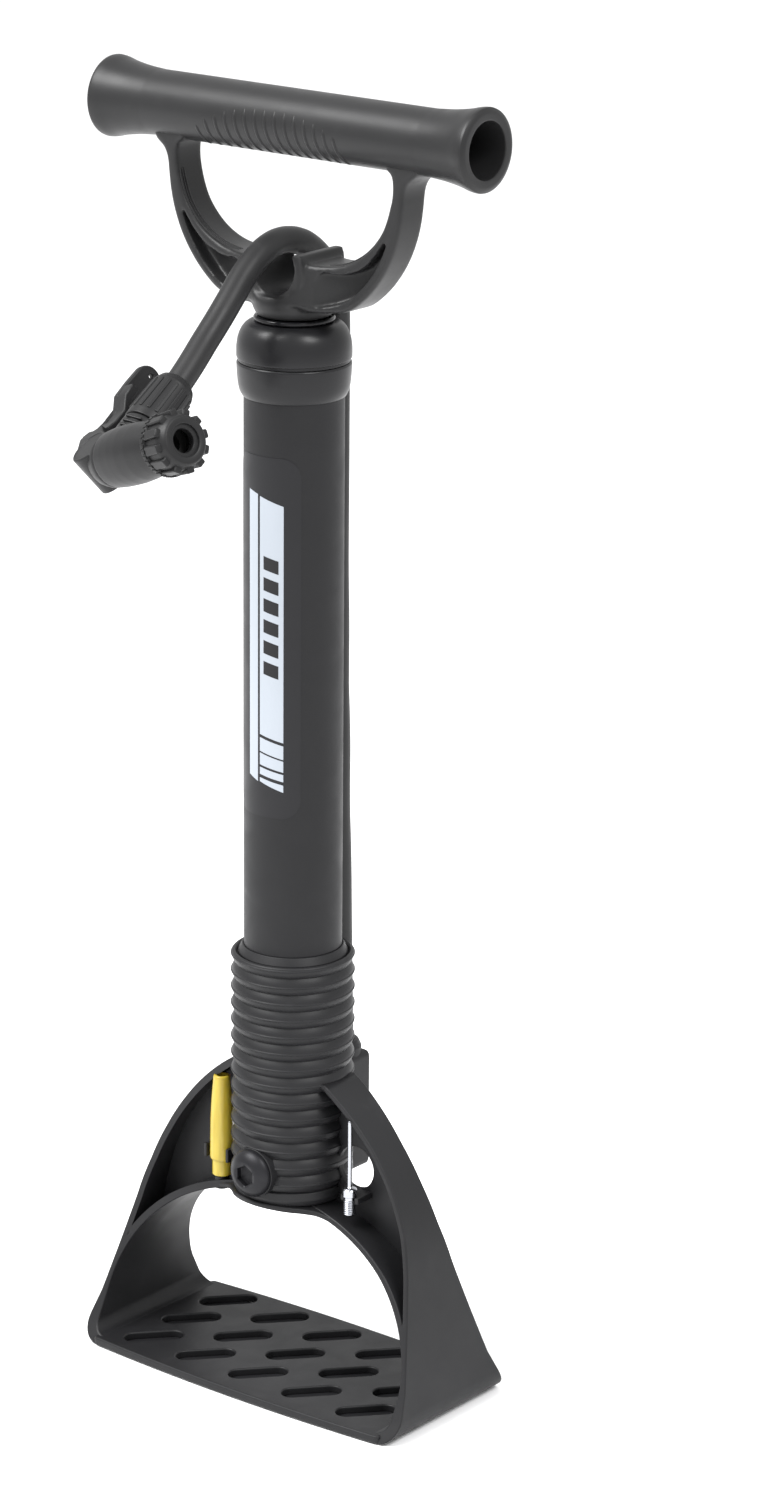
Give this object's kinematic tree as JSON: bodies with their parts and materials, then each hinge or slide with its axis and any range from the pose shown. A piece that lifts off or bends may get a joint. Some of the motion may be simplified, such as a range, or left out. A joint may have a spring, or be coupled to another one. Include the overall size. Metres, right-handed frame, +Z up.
{
  "type": "floor bike pump",
  "caption": "Upright floor pump for bicycle tyres with a stirrup foot, ribbed collar, D handle, hose looped over the handle and a lever pump head.",
  "frame": {"origin": "middle of the foot plate's underside, on the barrel's axis", "axes": "+Z up along the barrel, X along the handle's grip and the foot's width, -Y to the front, where the foot bolt is"},
  "size_m": [0.1882, 0.1657, 0.5395],
  "materials": {
    "foot_plastic": "satin moulded black",
    "barrel_paint": "matte black powder coat",
    "label_film": "pale printed strips on clear film",
    "cap_plastic": "satin moulded black",
    "bush_plastic": "natural acetal",
    "seal_rubber": "matte black rubber",
    "bumper_rubber": "smooth glossy rubber",
    "zinc_steel": "zinc plated",
    "plug_aluminium": "turned",
    "bright_steel": "polished",
    "black_bolt": "black oxide",
    "brass": "turned",
    "hose_rubber": "smooth matte hose",
    "cup_leather": "greased",
    "rod_chrome": "polished",
    "handle_plastic": "satin moulded black",
    "head_plastic": "satin moulded black",
    "needle_steel": "bright nickel",
    "yellow_plastic": "translucent yellow moulding"
  },
  "bodies": {
    "root": {"foot_base": "foot_plastic", "barrel": "barrel_paint", "label_film": "label_film", "cap_ring": "cap_plastic", "top_cap": "cap_plastic", "rod_bush": "bush_plastic", "rod_seal": "seal_rubber", "stop_washer": "zinc_steel", "foot_plug": "plug_aluminium", "plug_o_ring": "seal_rubber", "valve_plug": "plug_aluminium", "check_spring": "bright_steel", "base_bolt": "black_bolt", "hose_elbow": "brass", "hose_riser": "hose_rubber"},
    "check_valve": {"check_ball": "bright_steel"},
    "piston": {"piston_disc": "bush_plastic", "piston_cup": "cup_leather", "piston_washer": "zinc_steel"},
    "handle_set": {"rod": "rod_chrome", "rebound_ring": "seal_rubber", "piston_nut": "zinc_steel", "handle": "handle_plastic", "handle_screw": "zinc_steel", "bumper_ring": "bumper_rubber", "hose_loop": "hose_rubber", "hose_ferrule": "head_plastic", "head_body": "head_plastic", "lever_pin": "head_plastic", "gland_rubber": "seal_rubber"},
    "lever": {"head_lever": "head_plastic"},
    "plunger": {"plunger": "bush_plastic"},
    "nut": {"valve_nut": "head_plastic"},
    "needle": {"ball_needle": "needle_steel"},
    "cone": {"cone_adapter": "yellow_plastic"}
  },
  "joints": [
    {"name": "pump_stroke", "type": "slide", "parent": "root", "child": "piston", "axis": [0, 0, 1], "range_m": [0, 0.28]},
    {"name": "handle_swivel", "type": "hinge", "parent": "piston", "child": "handle_set", "pos_m": [0, 0, 0.3], "axis": [0, 0, 1], "continuous": true},
    {"name": "lever_flip", "type": "hinge", "parent": "handle_set", "child": "lever", "pos_m": [-0.00849, -0.10256, 0.40573], "axis": [-0.3929, -0.5174, 0.7602], "range_deg": [0, 85]},
    {"name": "plunger_push", "type": "slide", "parent": "handle_set", "child": "plunger", "axis": [0.9192, -0.1954, 0.342], "range_m": [0, 0.0025]},
    {"name": "nut_turn", "type": "hinge", "parent": "handle_set", "child": "nut", "pos_m": [0.03609, -0.11203, 0.42231], "axis": [0.9192, -0.1954, 0.342], "range_deg": [0, 360]},
    {"name": "needle_pull", "type": "slide", "parent": "root", "child": "needle", "axis": [0, -1, 0], "range_m": [0, 0.03]},
    {"name": "cone_pull", "type": "slide", "parent": "root", "child": "cone", "axis": [0, -1, 0], "range_m": [0, 0.03]},
    {"name": "check_lift", "type": "slide", "parent": "root", "child": "check_valve", "axis": [0, 0, -1], "range_m": [0, 0.0015], "stiffness_N_per_m": 40, "springref_m": -0.002, "deforming": ["check_spring"]}
  ],
  "couplings": [
    {"joint": "plunger_push", "follows": "lever_flip", "m_per_rad": 0.00145}
  ]
}
